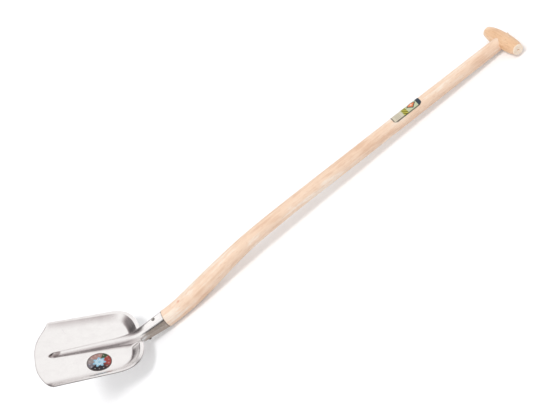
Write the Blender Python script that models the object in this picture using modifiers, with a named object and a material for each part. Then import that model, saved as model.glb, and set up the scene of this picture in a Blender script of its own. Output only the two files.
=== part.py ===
"""Long-handled shovel: a dished steel blade with a rib and a rolled socket, a bent wooden handle
and a turned T grip.

Everything is modelled in the blade's own frame, in metres: X runs from the front edge to the heel
along the pan's floor, Y across the blade and Z up from the floor's upper face. An empty then tips
the whole spade onto its back, where it rests on the socket and the grip.
"""

import math

import bmesh
import bpy
import numpy as np
from mathutils import Matrix, Vector
from mathutils.bvhtree import BVHTree

# Gap between pieces that touch on the real object
GAP = 0.0003

# Blade, pressed from one sheet
SHEET = 0.002
BLADE_LENGTH = 0.2508
BLADE_WIDTH = 0.2157
BLADE_TAPER = 0.0042
FRONT_BULGE = 0.0369
FRONT_POWER = 2.2
HEEL_CORNER = 0.0794
HEEL_POWER = 2.83
FRONT_HEIGHT = 0.0086
SIDE_HEIGHT = 0.0100
HEEL_HEIGHT = 0.0136
SIDE_WALL_RUN = 0.038
SIDE_WALL_POWER = 3.0
HEEL_WALL_RUN = 0.020
HEEL_WALL_POWER = 1.5
FRONT_LIP = 0.004
HEEL_LIP = 0.0095
LIP_RISE = 0.0016
LIP_NOTCH = 0.0105

# Rib, a cone lying a little under the floor that bends up into the socket
RIB_START = 0.0335
RIB_NOSE = 0.011
RIB_SINK = 0.004
RIB_RADIUS = 0.0095
NOSE_BLEND = 0.0008
NOSE_FILLET = 0.0012
HEEL_FILLET = 0.011
FILLET_WEIGHT = 1.5
BEND_REACH = 2.0

# Socket, the rib's rolled end, open along its underside
SOCKET_LIFT = math.radians(32.3)
SOCKET_HEIGHT = 0.0124
SOCKET_LENGTH = 0.0713
SOCKET_HEEL_RADIUS = 0.0183
SOCKET_MOUTH_RADIUS = 0.0221
SEAM_HALF_ANGLE = math.radians(8.0)
WING_RUN = 0.010

# Handle, from the socket's mouth to the grip's centre
HANDLE_LENGTH = 1.022
HANDLE_SIDES = 24
RADIUS_AT = (0.0, 0.045, 0.11, 0.16, 0.22, 0.30, 0.45, 0.70, 1.02)
HANDLE_RADIUS = (0.0222, 0.0225, 0.0237, 0.0225, 0.0206, 0.0190, 0.0181, 0.0173, 0.0151)
RADIUS_BLEND = 0.018
TAIL_LENGTH = 0.070
TAIL_CHAMFER = 0.006
BEND_AT = (0.0, 0.05, 0.13, 0.22, 0.32, 0.45)
BEND_LIFT = (32.3, 41.9, 46.4, 45.7, 38.9, 37.0)
BEND_STEP = 0.018
STRAIGHT_STEP = 0.05

# Grip, a turned crossbar
GRIP_LENGTH = 0.1205
GRIP_RADIUS = 0.0178
GRIP_END_RADIUS = 0.0123
GRIP_BELLY = 0.016
GRIP_EDGE = 0.0012
GRIP_STEPS = 32
SEAT_DEPTH = 0.0104
TENON_RADIUS = 0.009
TENON_PROUD = 0.0003
TENON_CHAMFER = 0.0016

# Wedge that spreads the tenon
WEDGE_LENGTH = 0.017
WEDGE_WIDTH = 0.0166
WEDGE_THICK = 0.0030
WEDGE_THIN = 0.0012

# Nails: distance along the socket from the heel, and angle round it from the top towards -Y
NAIL_RADIUS = 0.0022
NAIL_LENGTH = 0.017
NAIL_POINT = 0.004
NAIL_HEAD_RADIUS = 0.0045
NAIL_HEAD_HEIGHT = 0.0018
TOP_NAIL = (0.048, 0.0)
UNDER_NAIL = (0.0125, math.radians(140.0))

# Labels
LABEL_THICK = 0.00025
BLADE_LABEL_FROM_HEEL = 0.1081
BLADE_LABEL_FROM_EDGE = 0.0572
BLADE_LABEL_RADIUS = 0.0290
HANDLE_LABEL_START = 0.717
HANDLE_LABEL_LENGTH = 0.077
HANDLE_LABEL_HALF_ANGLE = math.radians(50.0)
HANDLE_LABEL_CORNER = 0.006

# Grid counts of the blade's sheet
RIB_COLUMNS = 10
LIP_COLUMNS = 2
WALL_COLUMNS = 6
FLOOR_COLUMNS = 4
FRONT_ROWS = 3
NOSE_ROWS = 6
BODY_ROWS = 7
FAN_ROWS = 5
REAR_ROWS = 14
WING_ROWS = 5
SOCKET_ROWS = 5
FAN_START = 0.150
OUTLINE_POINTS = 360

parts = bpy.data.collections.new("spade")
cutters = bpy.data.collections.new("cutters")


def clear_scene():
    for old in list(bpy.data.objects):
        bpy.data.objects.remove(old, do_unlink=True)
    for collection in (parts, cutters):
        bpy.context.scene.collection.children.link(collection)


def material(name, colour, roughness, metallic=0.0):
    made = bpy.data.materials.new(name)
    made.use_nodes = True
    shader = made.node_tree.nodes["Principled BSDF"]
    shader.inputs["Base Color"].default_value = (*colour, 1.0)
    shader.inputs["Roughness"].default_value = roughness
    shader.inputs["Metallic"].default_value = metallic
    return made


def place(name, data, finish=None, collection=parts):
    placed = bpy.data.objects.new(name, data)
    collection.objects.link(placed)
    if finish:
        data.materials.append(finish)
    if collection is cutters:
        placed.hide_render = True
        placed.display_type = "WIRE"
    return placed


def mesh_from(name, points, faces):
    mesh = bpy.data.meshes.new(name)
    mesh.from_pydata([tuple(point) for point in points], [], faces)
    mesh.validate()
    return mesh


def shade(piece, angle=math.radians(40.0)):
    piece.data.shade_smooth()
    piece.data.set_sharp_from_angle(angle=angle)


def cut(piece, cutter):
    boolean = piece.modifiers.new("Cut " + cutter.name, "BOOLEAN")
    boolean.operation = "DIFFERENCE"
    boolean.object = cutter
    boolean.solver = "EXACT"


def turned(name, profile, steps, finish=None, collection=parts):
    """A profile of (radius, height) pairs, top to bottom, turned about the object's Z axis."""
    mesh = bpy.data.meshes.new(name)
    points = [(radius, 0.0, height) for radius, height in profile]
    edges = [(index, index + 1) for index in range(len(points) - 1)]
    mesh.from_pydata(points, edges, [])
    piece = place(name, mesh, finish, collection)
    screw = piece.modifiers.new("Turn", "SCREW")
    screw.axis = "Z"
    screw.steps = steps
    screw.render_steps = steps
    screw.use_merge_vertices = True
    screw.merge_threshold = 0.00002
    screw.use_smooth_shade = True
    return piece


def grid_faces(rows, columns, first=0):
    faces = []
    for row in range(rows - 1):
        for column in range(columns - 1):
            corner = first + row * columns + column
            faces.append((corner, corner + columns, corner + columns + 1, corner + 1))
    return faces


# Path of the rib and the socket, in the plane Y = 0
BEND_CORNER = BLADE_LENGTH - (SOCKET_HEIGHT + RIB_SINK) / math.tan(SOCKET_LIFT)
BEND_SIDE = (SOCKET_HEIGHT + RIB_SINK) / math.sin(SOCKET_LIFT)
BEND_START = BEND_CORNER - BEND_REACH * BEND_SIDE
SOCKET_AXIS = Vector((math.cos(SOCKET_LIFT), 0.0, math.sin(SOCKET_LIFT)))
SOCKET_UP = Vector((-math.sin(SOCKET_LIFT), 0.0, math.cos(SOCKET_LIFT)))
SOCKET_HEEL = Vector((BLADE_LENGTH, 0.0, SOCKET_HEIGHT))
SOCKET_MOUTH = SOCKET_HEEL + SOCKET_AXIS * SOCKET_LENGTH
NOSE_END = RIB_START + RIB_NOSE
CLIMB_START = BLADE_LENGTH - HEEL_LIP - HEEL_WALL_RUN
CLIMB_END = BLADE_LENGTH - HEEL_LIP / 3


def rib_station(x):
    """Centre, up direction and radius of the rib's or socket's section whose centre is at x."""
    if x <= BEND_START:
        centre = Vector((x, 0.0, -RIB_SINK))
        slope = 0.0
    elif x < BLADE_LENGTH:
        first = BEND_CORNER - BEND_START
        second = BLADE_LENGTH - BEND_CORNER
        a = second - first
        t = (math.sqrt(first * first + a * (x - BEND_START)) - first) / a
        rise = SOCKET_HEIGHT + RIB_SINK
        centre = Vector((x, 0.0, -RIB_SINK + rise * t * t))
        slope = math.atan2(rise * t, first * (1.0 - t) + second * t)
    else:
        centre = SOCKET_HEEL + SOCKET_AXIS * ((x - BLADE_LENGTH) / math.cos(SOCKET_LIFT))
        slope = SOCKET_LIFT
    along = (x - RIB_START) / (BLADE_LENGTH - RIB_START)
    radius = RIB_RADIUS + (SOCKET_HEEL_RADIUS - RIB_RADIUS) * max(along, 0.0)
    if x > BLADE_LENGTH:
        radius = socket_radius((x - BLADE_LENGTH) / math.cos(SOCKET_LIFT))
    if x < NOSE_END:
        reach = RIB_NOSE / math.sqrt(1.0 - (RIB_SINK / radius) ** 2)
        radius *= math.sqrt(max(1.0 - ((NOSE_END - x) / reach) ** 2, 0.0))
    return centre, Vector((-math.sin(slope), 0.0, math.cos(slope))), radius


def socket_radius(along):
    return SOCKET_HEEL_RADIUS + (SOCKET_MOUTH_RADIUS - SOCKET_HEEL_RADIUS) * along / SOCKET_LENGTH


def rim_outline():
    """Half of the blade's rim from the front corner round to the notch beside the socket.

    Each row is x, y, wall height, lip width, and the wall's run and power.
    """
    corner_start = BLADE_LENGTH - HEEL_CORNER
    notch = SOCKET_HEEL_RADIUS + LIP_NOTCH
    rear = (BLADE_WIDTH - BLADE_TAPER) / 2
    last = math.acos((notch / rear) ** (HEEL_POWER / 2))
    rows = []
    for step in range(OUTLINE_POINTS):
        t = step / (OUTLINE_POINTS - 1)
        x = FRONT_BULGE + (corner_start - FRONT_BULGE) * t
        y = (BLADE_WIDTH - BLADE_TAPER * t) / 2
        rows.append((x, y, FRONT_HEIGHT + (SIDE_HEIGHT - FRONT_HEIGHT) * t, 0.0))
    for step in range(1, OUTLINE_POINTS):
        angle = last * step / (OUTLINE_POINTS - 1)
        along = math.sin(angle) ** (2 / HEEL_POWER)
        x = corner_start + HEEL_CORNER * along
        y = rear * math.cos(angle) ** (2 / HEEL_POWER)
        rows.append((x, y, SIDE_HEIGHT + (HEEL_HEIGHT - SIDE_HEIGHT) * along, along))
    rim = np.array(rows)
    around = rim[:, 3]
    share = (rim[:, 0] - FRONT_BULGE) / (BLADE_LENGTH - FRONT_BULGE)
    lip = FRONT_LIP + (HEEL_LIP - FRONT_LIP) * share
    run = SIDE_WALL_RUN + (HEEL_WALL_RUN - SIDE_WALL_RUN) * around
    power = SIDE_WALL_POWER + (HEEL_WALL_POWER - SIDE_WALL_POWER) * around
    return np.column_stack([rim[:, :3], lip, run, power])


RIM = rim_outline()


def rim_distance(x, y):
    """Distance in plan from the rim, then the nearest rim point's height, lip, run and power."""
    gap = np.hypot(RIM[:, 0] - x, RIM[:, 1] - abs(y))
    nearest = int(gap.argmin())
    return (gap[nearest], *RIM[nearest, 2:])


def pan_height(x, y):
    """Height of the pan's upper face, without the rib."""
    gap, height, lip, run, power = rim_distance(x, y)
    if gap < lip:
        return height + LIP_RISE * (1.0 - gap / lip)
    t = min((gap - lip) / run, 1.0)
    return height * (1.0 - t) ** power


def section_point(station, angle):
    centre, up, radius = station
    return centre + up * (radius * math.cos(angle)) + Vector((0.0, radius * math.sin(angle), 0.0))


def fillet_radius(x):
    """Radius between the rib's side and the pan: it opens out towards the heel, then closes."""
    return float(np.interp(x, (NOSE_END, CLIMB_START, CLIMB_END), (NOSE_FILLET, HEEL_FILLET, 0.0)))


def rib_section(x):
    """Points from the rib's crest down its arc and its fillet to the pan, and the arc's end angle."""
    station = rib_station(x)
    centre, up, radius = station
    fillet = fillet_radius(x)
    level = 0.0
    for _ in range(60):
        side = math.sqrt((radius + fillet) ** 2 - (level + fillet) ** 2)
        pan = pan_height(centre.x + up.x * level, side)
        level = (level + (pan - centre.z) / up.z) / 2
    turn = math.atan2(side, level + fillet)
    fillet_centre = centre + up * (level + fillet) + Vector((0.0, side, 0.0))
    share = radius / (radius + FILLET_WEIGHT * fillet)
    points = []
    for along in np.linspace(0.0, 1.0, RIB_COLUMNS):
        if along <= share:
            points.append(section_point(station, turn * along / share))
        else:
            angle = turn * (1.0 - along) / (1.0 - share)
            inward = up * math.cos(angle) + Vector((0.0, math.sin(angle), 0.0))
            points.append(fillet_centre - inward * fillet)
    return points, turn


def blade_stations():
    """Centre positions of the rows: dense at the rib's nose and where the rib climbs the heel."""
    front = np.linspace(0.0, RIB_START, FRONT_ROWS + 1)[:-1]
    nose = RIB_START + RIB_NOSE * (np.linspace(0.0, 1.0, NOSE_ROWS + 1) ** 1.7)[:-1]
    body = np.linspace(NOSE_END, FAN_START, BODY_ROWS + 1)[:-1]
    fan = np.linspace(FAN_START, CLIMB_START, FAN_ROWS + 1)[:-1]
    rear = np.linspace(CLIMB_START, CLIMB_END, REAR_ROWS)
    return np.concatenate([front, nose, body, fan, rear])


def rim_targets(stations):
    """Rim point for each row: along the side first, then evenly round the heel corner."""
    travelled = np.concatenate([[0.0], np.cumsum(np.hypot(*np.diff(RIM[:, :2], axis=0).T))])
    corner = travelled[OUTLINE_POINTS - 1]
    on_side = stations[stations < FAN_START] / FAN_START * corner
    on_corner = np.linspace(corner, travelled[-1], FAN_ROWS + REAR_ROWS)
    distance = np.concatenate([on_side, on_corner])
    return np.column_stack([np.interp(distance, travelled, RIM[:, k]) for k in range(2)])


def rib_row(x):
    """Points over the rib from its crest to its foot. The rounded nose is laid over a flat strip."""
    row, end_angle = rib_section(max(x, NOSE_END))
    if x >= NOSE_END:
        return row, end_angle
    centre, _, radius = rib_station(x)
    flat = []
    for point in row:
        rib = centre.z + math.sqrt(max(radius * radius - point.y * point.y, 0.0))
        pan = pan_height(x, point.y)
        over_rib = x > RIB_START and point is not row[-1]
        height = (rib + pan + math.hypot(rib - pan, NOSE_BLEND)) / 2 if over_rib else pan
        flat.append(Vector((x, point.y, height)))
    return flat, end_angle


def pan_row(foot, rim, bow):
    """Points from the rib's foot out to the rim, closer together on the lip and the wall."""
    samples = np.linspace(0.0, 1.0, 121)
    path_y = rim[1] + (foot.y - rim[1]) * samples
    path_x = foot.x + (rim[0] - foot.x) * (1.0 - samples) ** bow
    gaps = np.array([rim_distance(x, y)[0] for x, y in zip(path_x, path_y)])
    gaps = np.maximum.accumulate(gaps)
    gaps += np.arange(len(gaps)) * 1e-9
    _, _, lip, run, _ = rim_distance(*rim)
    lip_share = np.interp(min(lip, 0.45 * gaps[-1]), gaps, samples)
    wall_share = np.interp(min(lip + run, 0.88 * gaps[-1]), gaps, samples)
    lips = np.linspace(0.0, lip_share, LIP_COLUMNS + 1)
    walls = lip_share + (wall_share - lip_share) * np.linspace(0.0, 1.0, WALL_COLUMNS + 1)[1:] ** 1.5
    floors = np.linspace(wall_share, 1.0, FLOOR_COLUMNS + 1)[1:-1]
    shares = np.concatenate([lips, walls, floors])[::-1]
    xs = np.interp(shares, samples, path_x)
    ys = np.interp(shares, samples, path_y)
    return [(x, y, pan_height(x, y)) for x, y in zip(xs, ys)]


def blade_sheet():
    """Upper face of half the sheet, on the +Y side: the pan's rows, then the socket's rows."""
    stations = blade_stations()
    points = []
    for x, rim in zip(stations, rim_targets(stations)):
        row, end_angle = rib_row(x)
        bow = 1.0 + (FRONT_POWER - 1.0) * max(1.0 - x / RIB_START, 0.0)
        points += row + pan_row(row[-1], rim, bow)
    columns = len(points) // len(stations)
    faces = grid_faces(len(stations), columns)
    join = len(points) - columns
    wing = np.linspace(0.0, WING_RUN, WING_ROWS + 1)[1:]
    tube = np.linspace(WING_RUN, mouth_run(stations[-1]), SOCKET_ROWS + 1)[1:]
    first = len(points)
    for run in np.concatenate([wing, tube]):
        station = rib_station(stations[-1] + run * math.cos(SOCKET_LIFT))
        spread = math.sin(math.pi / 2 * min(run / WING_RUN, 1.0))
        widest = end_angle + (math.pi - SEAM_HALF_ANGLE - end_angle) * spread
        points += [section_point(station, widest * k / (RIB_COLUMNS - 1)) for k in range(RIB_COLUMNS)]
    rows = (len(points) - first) // RIB_COLUMNS
    for k in range(RIB_COLUMNS - 1):
        faces.append((join + k, first + k, first + k + 1, join + k + 1))
    faces += grid_faces(rows, RIB_COLUMNS, first)
    return points, faces


def mouth_run(x):
    """Length along the axis from the section centred at x to the socket's mouth."""
    return SOCKET_LENGTH + (BLADE_LENGTH - x) / math.cos(SOCKET_LIFT)


def make_blade(finish):
    points, faces = blade_sheet()
    blade = place("blade", mesh_from("blade", points, faces), finish)
    mirror = blade.modifiers.new("Other half", "MIRROR")
    mirror.use_axis = (False, True, False)
    mirror.merge_threshold = 0.00005
    solid = blade.modifiers.new("Sheet", "SOLIDIFY")
    solid.thickness = SHEET
    solid.offset = -1.0
    solid.use_even_offset = True
    solid.use_quality_normals = True
    shade(blade, math.radians(50.0))
    return blade


def handle_lift(distance):
    return math.radians(float(np.interp(distance, BEND_AT, BEND_LIFT)))


def handle_path(distances):
    """Centre of the handle at each distance from the socket's mouth."""
    steps = np.linspace(0.0, HANDLE_LENGTH, 1200)
    lifts = np.array([handle_lift(step) for step in steps])
    middle = (lifts[1:] + lifts[:-1]) / 2
    run = np.diff(steps)
    xs = SOCKET_MOUTH.x + np.concatenate([[0.0], np.cumsum(np.cos(middle) * run)])
    zs = SOCKET_MOUTH.z + np.concatenate([[0.0], np.cumsum(np.sin(middle) * run)])
    return [Vector((np.interp(d, steps, xs), 0.0, np.interp(d, steps, zs))) for d in distances]


def handle_radius(distance):
    near = [distance - RADIUS_BLEND, distance, distance + RADIUS_BLEND]
    return float(np.interp(near, RADIUS_AT, HANDLE_RADIUS).mean())


HEAD_LIFT = handle_lift(HANDLE_LENGTH)
HEAD_AXIS = Vector((math.cos(HEAD_LIFT), 0.0, math.sin(HEAD_LIFT)))
HEAD_UP = Vector((-math.sin(HEAD_LIFT), 0.0, math.cos(HEAD_LIFT)))
GRIP_CENTRE = handle_path([HANDLE_LENGTH])[0]
SEAT = HANDLE_LENGTH - GRIP_RADIUS + SEAT_DEPTH
TENON_END = HANDLE_LENGTH + GRIP_RADIUS + TENON_PROUD


def make_handle(finish):
    """Tapered tail in the socket, a bent shaft, and a tenon through the grip."""
    facet = math.cos((math.pi - SEAM_HALF_ANGLE) / (RIB_COLUMNS - 1) / 2)

    def bore(along):
        return socket_radius(along) * facet - SHEET - GAP

    stations = []
    tail = SOCKET_LENGTH - TAIL_LENGTH
    stations.append((SOCKET_MOUTH - SOCKET_AXIS * TAIL_LENGTH, bore(tail) - TAIL_CHAMFER))
    stations.append((SOCKET_MOUTH - SOCKET_AXIS * (TAIL_LENGTH - TAIL_CHAMFER), bore(tail + TAIL_CHAMFER)))
    stations.append((SOCKET_MOUTH + SOCKET_AXIS * 2 * GAP, bore(SOCKET_LENGTH)))
    bent = np.arange(3 * GAP, BEND_AT[-1], BEND_STEP)
    straight = np.linspace(BEND_AT[-1], SEAT, 1 + round((SEAT - BEND_AT[-1]) / STRAIGHT_STEP))
    shaft = np.concatenate([bent, straight])
    stations += [(point, handle_radius(d)) for d, point in zip(shaft, handle_path(shaft))]
    for distance, radius in (
        (SEAT + GAP / 2, TENON_RADIUS),
        (TENON_END - TENON_CHAMFER, TENON_RADIUS),
        (TENON_END, TENON_RADIUS - TENON_CHAMFER),
    ):
        stations.append((GRIP_CENTRE + HEAD_AXIS * (distance - HANDLE_LENGTH), radius))
    curve = bpy.data.curves.new("handle", "CURVE")
    curve.dimensions = "3D"
    curve.bevel_depth = 1.0
    curve.bevel_resolution = HANDLE_SIDES // 2 - 2
    curve.use_fill_caps = True
    spline = curve.splines.new("POLY")
    spline.points.add(len(stations) - 1)
    for point, (centre, radius) in zip(spline.points, stations):
        point.co = (*centre, 1.0)
        point.radius = radius
    return mesh_of_curve("handle", curve, finish)


def mesh_of_curve(name, curve, finish):
    """Mesh object of a bevelled curve, with its caps welded on."""
    source = bpy.data.objects.new(name + "_path", curve)
    parts.objects.link(source)
    graph = bpy.context.evaluated_depsgraph_get()
    mesh = bpy.data.meshes.new_from_object(source.evaluated_get(graph))
    bpy.data.objects.remove(source, do_unlink=True)
    mesh.name = name
    body = bmesh.new()
    body.from_mesh(mesh)
    bmesh.ops.remove_doubles(body, verts=body.verts, dist=0.00001)
    bmesh.ops.recalc_face_normals(body, faces=body.faces)
    body.to_mesh(mesh)
    body.free()
    piece = place(name, mesh, finish)
    shade(piece)
    return piece


def grip_profile():
    """Half outline of the crossbar, top to bottom: flat ends, a barrel and a short straight belly."""
    half = GRIP_LENGTH / 2
    curve = []
    for step in range(7):
        t = step / 6
        height = GRIP_BELLY / 2 + (half - GRIP_EDGE - GRIP_BELLY / 2) * t
        curve.append((GRIP_RADIUS - (GRIP_RADIUS - GRIP_END_RADIUS) * t ** 2.2, height))
    top = [(0.0, half), (GRIP_END_RADIUS - GRIP_EDGE, half)] + curve[::-1]
    return top + [(radius, -height) for radius, height in top[::-1]]


def aim(axis, side, centre):
    """Matrix whose Z runs along the axis and whose X is the side direction."""
    z = axis.normalized()
    x = side.normalized()
    y = z.cross(x)
    turn = Matrix((x, y, z)).transposed().to_4x4()
    return Matrix.Translation(centre) @ turn


def cylinder(name, radius, length, matrix):
    """Cutter cylinder of the given length, standing on the matrix's origin along its Z."""
    body = bmesh.new()
    bmesh.ops.create_cone(
        body, cap_ends=True, segments=GRIP_STEPS, radius1=radius, radius2=radius, depth=length,
        matrix=Matrix.Translation((0.0, 0.0, length / 2)),
    )
    mesh = bpy.data.meshes.new(name)
    body.to_mesh(mesh)
    body.free()
    made = place(name, mesh, collection=cutters)
    made.matrix_world = matrix
    return made


def make_grip(finish):
    grip = turned("grip", grip_profile(), GRIP_STEPS, finish)
    grip.matrix_world = aim(Vector((0.0, -1.0, 0.0)), HEAD_UP, GRIP_CENTRE)
    reach = 2 * GRIP_RADIUS
    seat_centre = GRIP_CENTRE + HEAD_AXIS * (SEAT + GAP - HANDLE_LENGTH - reach)
    seat = cylinder("grip_seat", handle_radius(SEAT) + GAP, reach, aim(HEAD_AXIS, HEAD_UP, seat_centre))
    bore_centre = GRIP_CENTRE - HEAD_AXIS * reach
    bore = cylinder("grip_bore", TENON_RADIUS + GAP, 2 * reach, aim(HEAD_AXIS, HEAD_UP, bore_centre))
    cut(grip, seat)
    cut(grip, bore)
    return grip


def wedge_mesh(name, grow, overrun):
    """Tapered wedge along Z, thin end at the bottom, thickness along Y."""
    body = bmesh.new()
    bmesh.ops.create_cube(body, size=1.0)
    slope = (WEDGE_THICK - WEDGE_THIN) / WEDGE_LENGTH
    for vertex in body.verts:
        top = vertex.co.z > 0
        height = overrun if top else -WEDGE_LENGTH - grow
        thick = WEDGE_THICK + slope * height + 2 * grow
        vertex.co = (vertex.co.x * (WEDGE_WIDTH + 2 * grow), vertex.co.y * thick, height)
    mesh = bpy.data.meshes.new(name)
    body.to_mesh(mesh)
    body.free()
    return mesh


def make_wedge(finish, handle):
    place_at = aim(HEAD_AXIS, HEAD_UP, GRIP_CENTRE + HEAD_AXIS * (TENON_END - HANDLE_LENGTH))
    wedge = place("grip_wedge", wedge_mesh("grip_wedge", 0.0, 0.0), finish)
    wedge.matrix_world = place_at
    kerf = place("wedge_kerf", wedge_mesh("wedge_kerf", GAP, WEDGE_THICK), collection=cutters)
    kerf.matrix_world = place_at
    cut(handle, kerf)
    return wedge


def nail_profile(grow):
    """Domed head, shank and point, top to bottom. A cutter's copy is only the grown shank."""
    tip = -NAIL_LENGTH - grow
    shank = [(NAIL_RADIUS + grow, tip + NAIL_POINT), (0.0, tip)]
    if grow:
        return [(0.0, NAIL_HEAD_HEIGHT), (NAIL_RADIUS + grow, NAIL_HEAD_HEIGHT)] + shank
    dome = []
    for step in range(5):
        angle = math.radians(90.0 * (1 - step / 4))
        dome.append((NAIL_HEAD_RADIUS * math.cos(angle), 0.0004 + (NAIL_HEAD_HEIGHT - 0.0004) * math.sin(angle)))
    dome[0] = (0.0, NAIL_HEAD_HEIGHT)
    return dome + [(NAIL_HEAD_RADIUS, 0.0), (NAIL_RADIUS, 0.0)] + shank


def make_nail(name, spot, finish, blade, handle):
    along, angle = spot
    outward = SOCKET_UP * math.cos(angle) - Vector((0.0, 1.0, 0.0)) * math.sin(angle)
    seat = SOCKET_HEEL + SOCKET_AXIS * along + outward * (socket_radius(along) + GAP)
    taper = math.atan((SOCKET_MOUTH_RADIUS - SOCKET_HEEL_RADIUS) / SOCKET_LENGTH)
    tilt = outward * math.cos(taper) - SOCKET_AXIS * math.sin(taper)
    side = SOCKET_AXIS * math.cos(taper) + outward * math.sin(taper)
    lift = NAIL_HEAD_RADIUS * math.sin(taper) / 2
    matrix = aim(tilt, side, seat + tilt * lift)
    nail = turned(name, nail_profile(0.0), 16, finish)
    nail.matrix_world = matrix
    hole = turned(name + "_hole", nail_profile(GAP), 16, collection=cutters)
    hole.matrix_world = matrix
    cut(blade, hole)
    cut(handle, hole)
    return nail


def skin(name, points, faces, finish):
    """Thin closed skin grown outwards from a patch."""
    piece = place(name, mesh_from(name, points, faces), finish)
    solid = piece.modifiers.new("Thickness", "SOLIDIFY")
    solid.thickness = LABEL_THICK
    solid.offset = 1.0
    shade(piece)
    return piece


def make_blade_label(finish, blade):
    """Round label that follows the pan's upper face."""
    bpy.context.view_layer.update()
    graph = bpy.context.evaluated_depsgraph_get()
    surface = BVHTree.FromObject(blade, graph)
    rings, spokes = 4, 28
    centre = (BLADE_LENGTH - BLADE_LABEL_FROM_HEEL, BLADE_LABEL_FROM_EDGE - BLADE_WIDTH / 2)
    plan = [centre]
    for ring in range(1, rings + 1):
        for spoke in range(spokes):
            angle = 2 * math.pi * spoke / spokes
            reach = BLADE_LABEL_RADIUS * ring / rings
            plan.append((centre[0] + reach * math.cos(angle), centre[1] + reach * math.sin(angle)))
    points = []
    for x, y in plan:
        hit = surface.ray_cast(Vector((x, y, 1.0)), Vector((0.0, 0.0, -1.0)))[0]
        points.append((x, y, hit.z + GAP))
    faces = [(0, 1 + k, 1 + (k + 1) % spokes) for k in range(spokes)]
    for ring in range(rings - 1):
        inner = 1 + ring * spokes
        for k in range(spokes):
            after = (k + 1) % spokes
            faces.append((inner + k, inner + spokes + k, inner + spokes + after, inner + after))
    return skin("blade_label", points, faces, finish)


def make_handle_label(finish):
    """Label wrapped round the upper side of the handle, its corners cut off."""
    rows, columns = 11, 13
    points = []
    for row in range(rows):
        share = (1.0 - math.cos(math.pi * row / (rows - 1))) / 2
        distance = HANDLE_LABEL_START + HANDLE_LABEL_LENGTH * share
        centre = handle_path([distance])[0]
        lift = handle_lift(distance)
        up = Vector((-math.sin(lift), 0.0, math.cos(lift)))
        radius = handle_radius(distance) + GAP
        near_end = min(share, 1.0 - share) * HANDLE_LABEL_LENGTH
        inset = HANDLE_LABEL_CORNER * max(1.0 - near_end / HANDLE_LABEL_CORNER, 0.0) ** 2
        widest = HANDLE_LABEL_HALF_ANGLE - inset / radius
        for column in range(columns):
            angle = widest * (2 * column / (columns - 1) - 1)
            side = Vector((0.0, radius * math.sin(angle), 0.0))
            points.append(centre + up * (radius * math.cos(angle)) + side)
    return skin("handle_label", points, grid_faces(rows, columns), finish)


def world_points(pieces):
    """Points of the pieces' evaluated meshes, in the blade's frame."""
    graph = bpy.context.evaluated_depsgraph_get()
    found = []
    for piece in pieces:
        evaluated = piece.evaluated_get(graph)
        mesh = evaluated.to_mesh()
        points = np.empty(len(mesh.vertices) * 3)
        mesh.vertices.foreach_get("co", points)
        world = np.array(piece.matrix_world)
        found.append(points.reshape(-1, 3) @ world[:3, :3].T + world[:3, 3])
        evaluated.to_mesh_clear()
    return np.vstack(found)


def lay_on_back(pieces, grip):
    """Tips the spade until its lower end and the grip touch the same level, and centres it there."""
    bpy.context.view_layer.update()
    grip_points = world_points([grip])
    other_points = world_points([piece for piece in pieces if piece is not grip])

    def depth(points, tilt):
        return (points[:, 0] * math.sin(tilt) - points[:, 2] * math.cos(tilt)).max()

    low, high = 0.0, math.radians(80.0)
    for _ in range(50):
        tilt = (low + high) / 2
        if depth(grip_points, tilt) < depth(other_points, tilt):
            low = tilt
        else:
            high = tilt
    frame = bpy.data.objects.new("rest_frame", None)
    parts.objects.link(frame)
    both = np.vstack([grip_points, other_points])
    reach = both[:, 0] * math.cos(tilt) + both[:, 2] * math.sin(tilt)
    frame.rotation_euler = (0.0, tilt, 0.0)
    frame.location = (-(reach.max() + reach.min()) / 2, 0.0, depth(both, tilt))
    return frame


def main():
    clear_scene()
    steel = material("satin_steel", (0.80, 0.78, 0.78), 0.32, 1.0)
    pale_wood = material("pale_beech", (0.88, 0.66, 0.47), 0.55)
    tan_wood = material("tan_beech", (0.78, 0.50, 0.28), 0.50)
    wedge_wood = material("wedge_beech", (0.62, 0.38, 0.20), 0.60)
    nail_steel = material("nail_steel", (0.30, 0.28, 0.27), 0.45, 1.0)
    blade_paper = material("blade_label_print", (0.20, 0.35, 0.50), 0.35)
    handle_paper = material("handle_label_print", (0.45, 0.55, 0.25), 0.40)

    blade = make_blade(steel)
    handle = make_handle(pale_wood)
    grip = make_grip(tan_wood)
    wedge = make_wedge(wedge_wood, handle)
    top_nail = make_nail("socket_nail_top", TOP_NAIL, nail_steel, blade, handle)
    under_nail = make_nail("socket_nail_under", UNDER_NAIL, nail_steel, blade, handle)
    blade_label = make_blade_label(blade_paper, blade)
    handle_label = make_handle_label(handle_paper)

    pieces = [blade, handle, grip, wedge, top_nail, under_nail, blade_label, handle_label]
    frame = lay_on_back(pieces, grip)
    for piece in pieces + list(cutters.objects):
        piece.parent = frame


main()
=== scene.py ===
"""Looks of the long-handled shovel: a dished steel blade with a rib and a rolled socket, a bent
beech handle, a turned crossbar grip, two nails and two printed labels.

Shapes are made in the blade's own frame, as the part is: X from the front edge to the heel along
the pan's floor, Y across the blade, Z up from the floor's upper face. REST then lays them down.
"""

import math

import bmesh
import bpy
import numpy as np
from mathutils import Euler, Matrix, Vector


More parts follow.
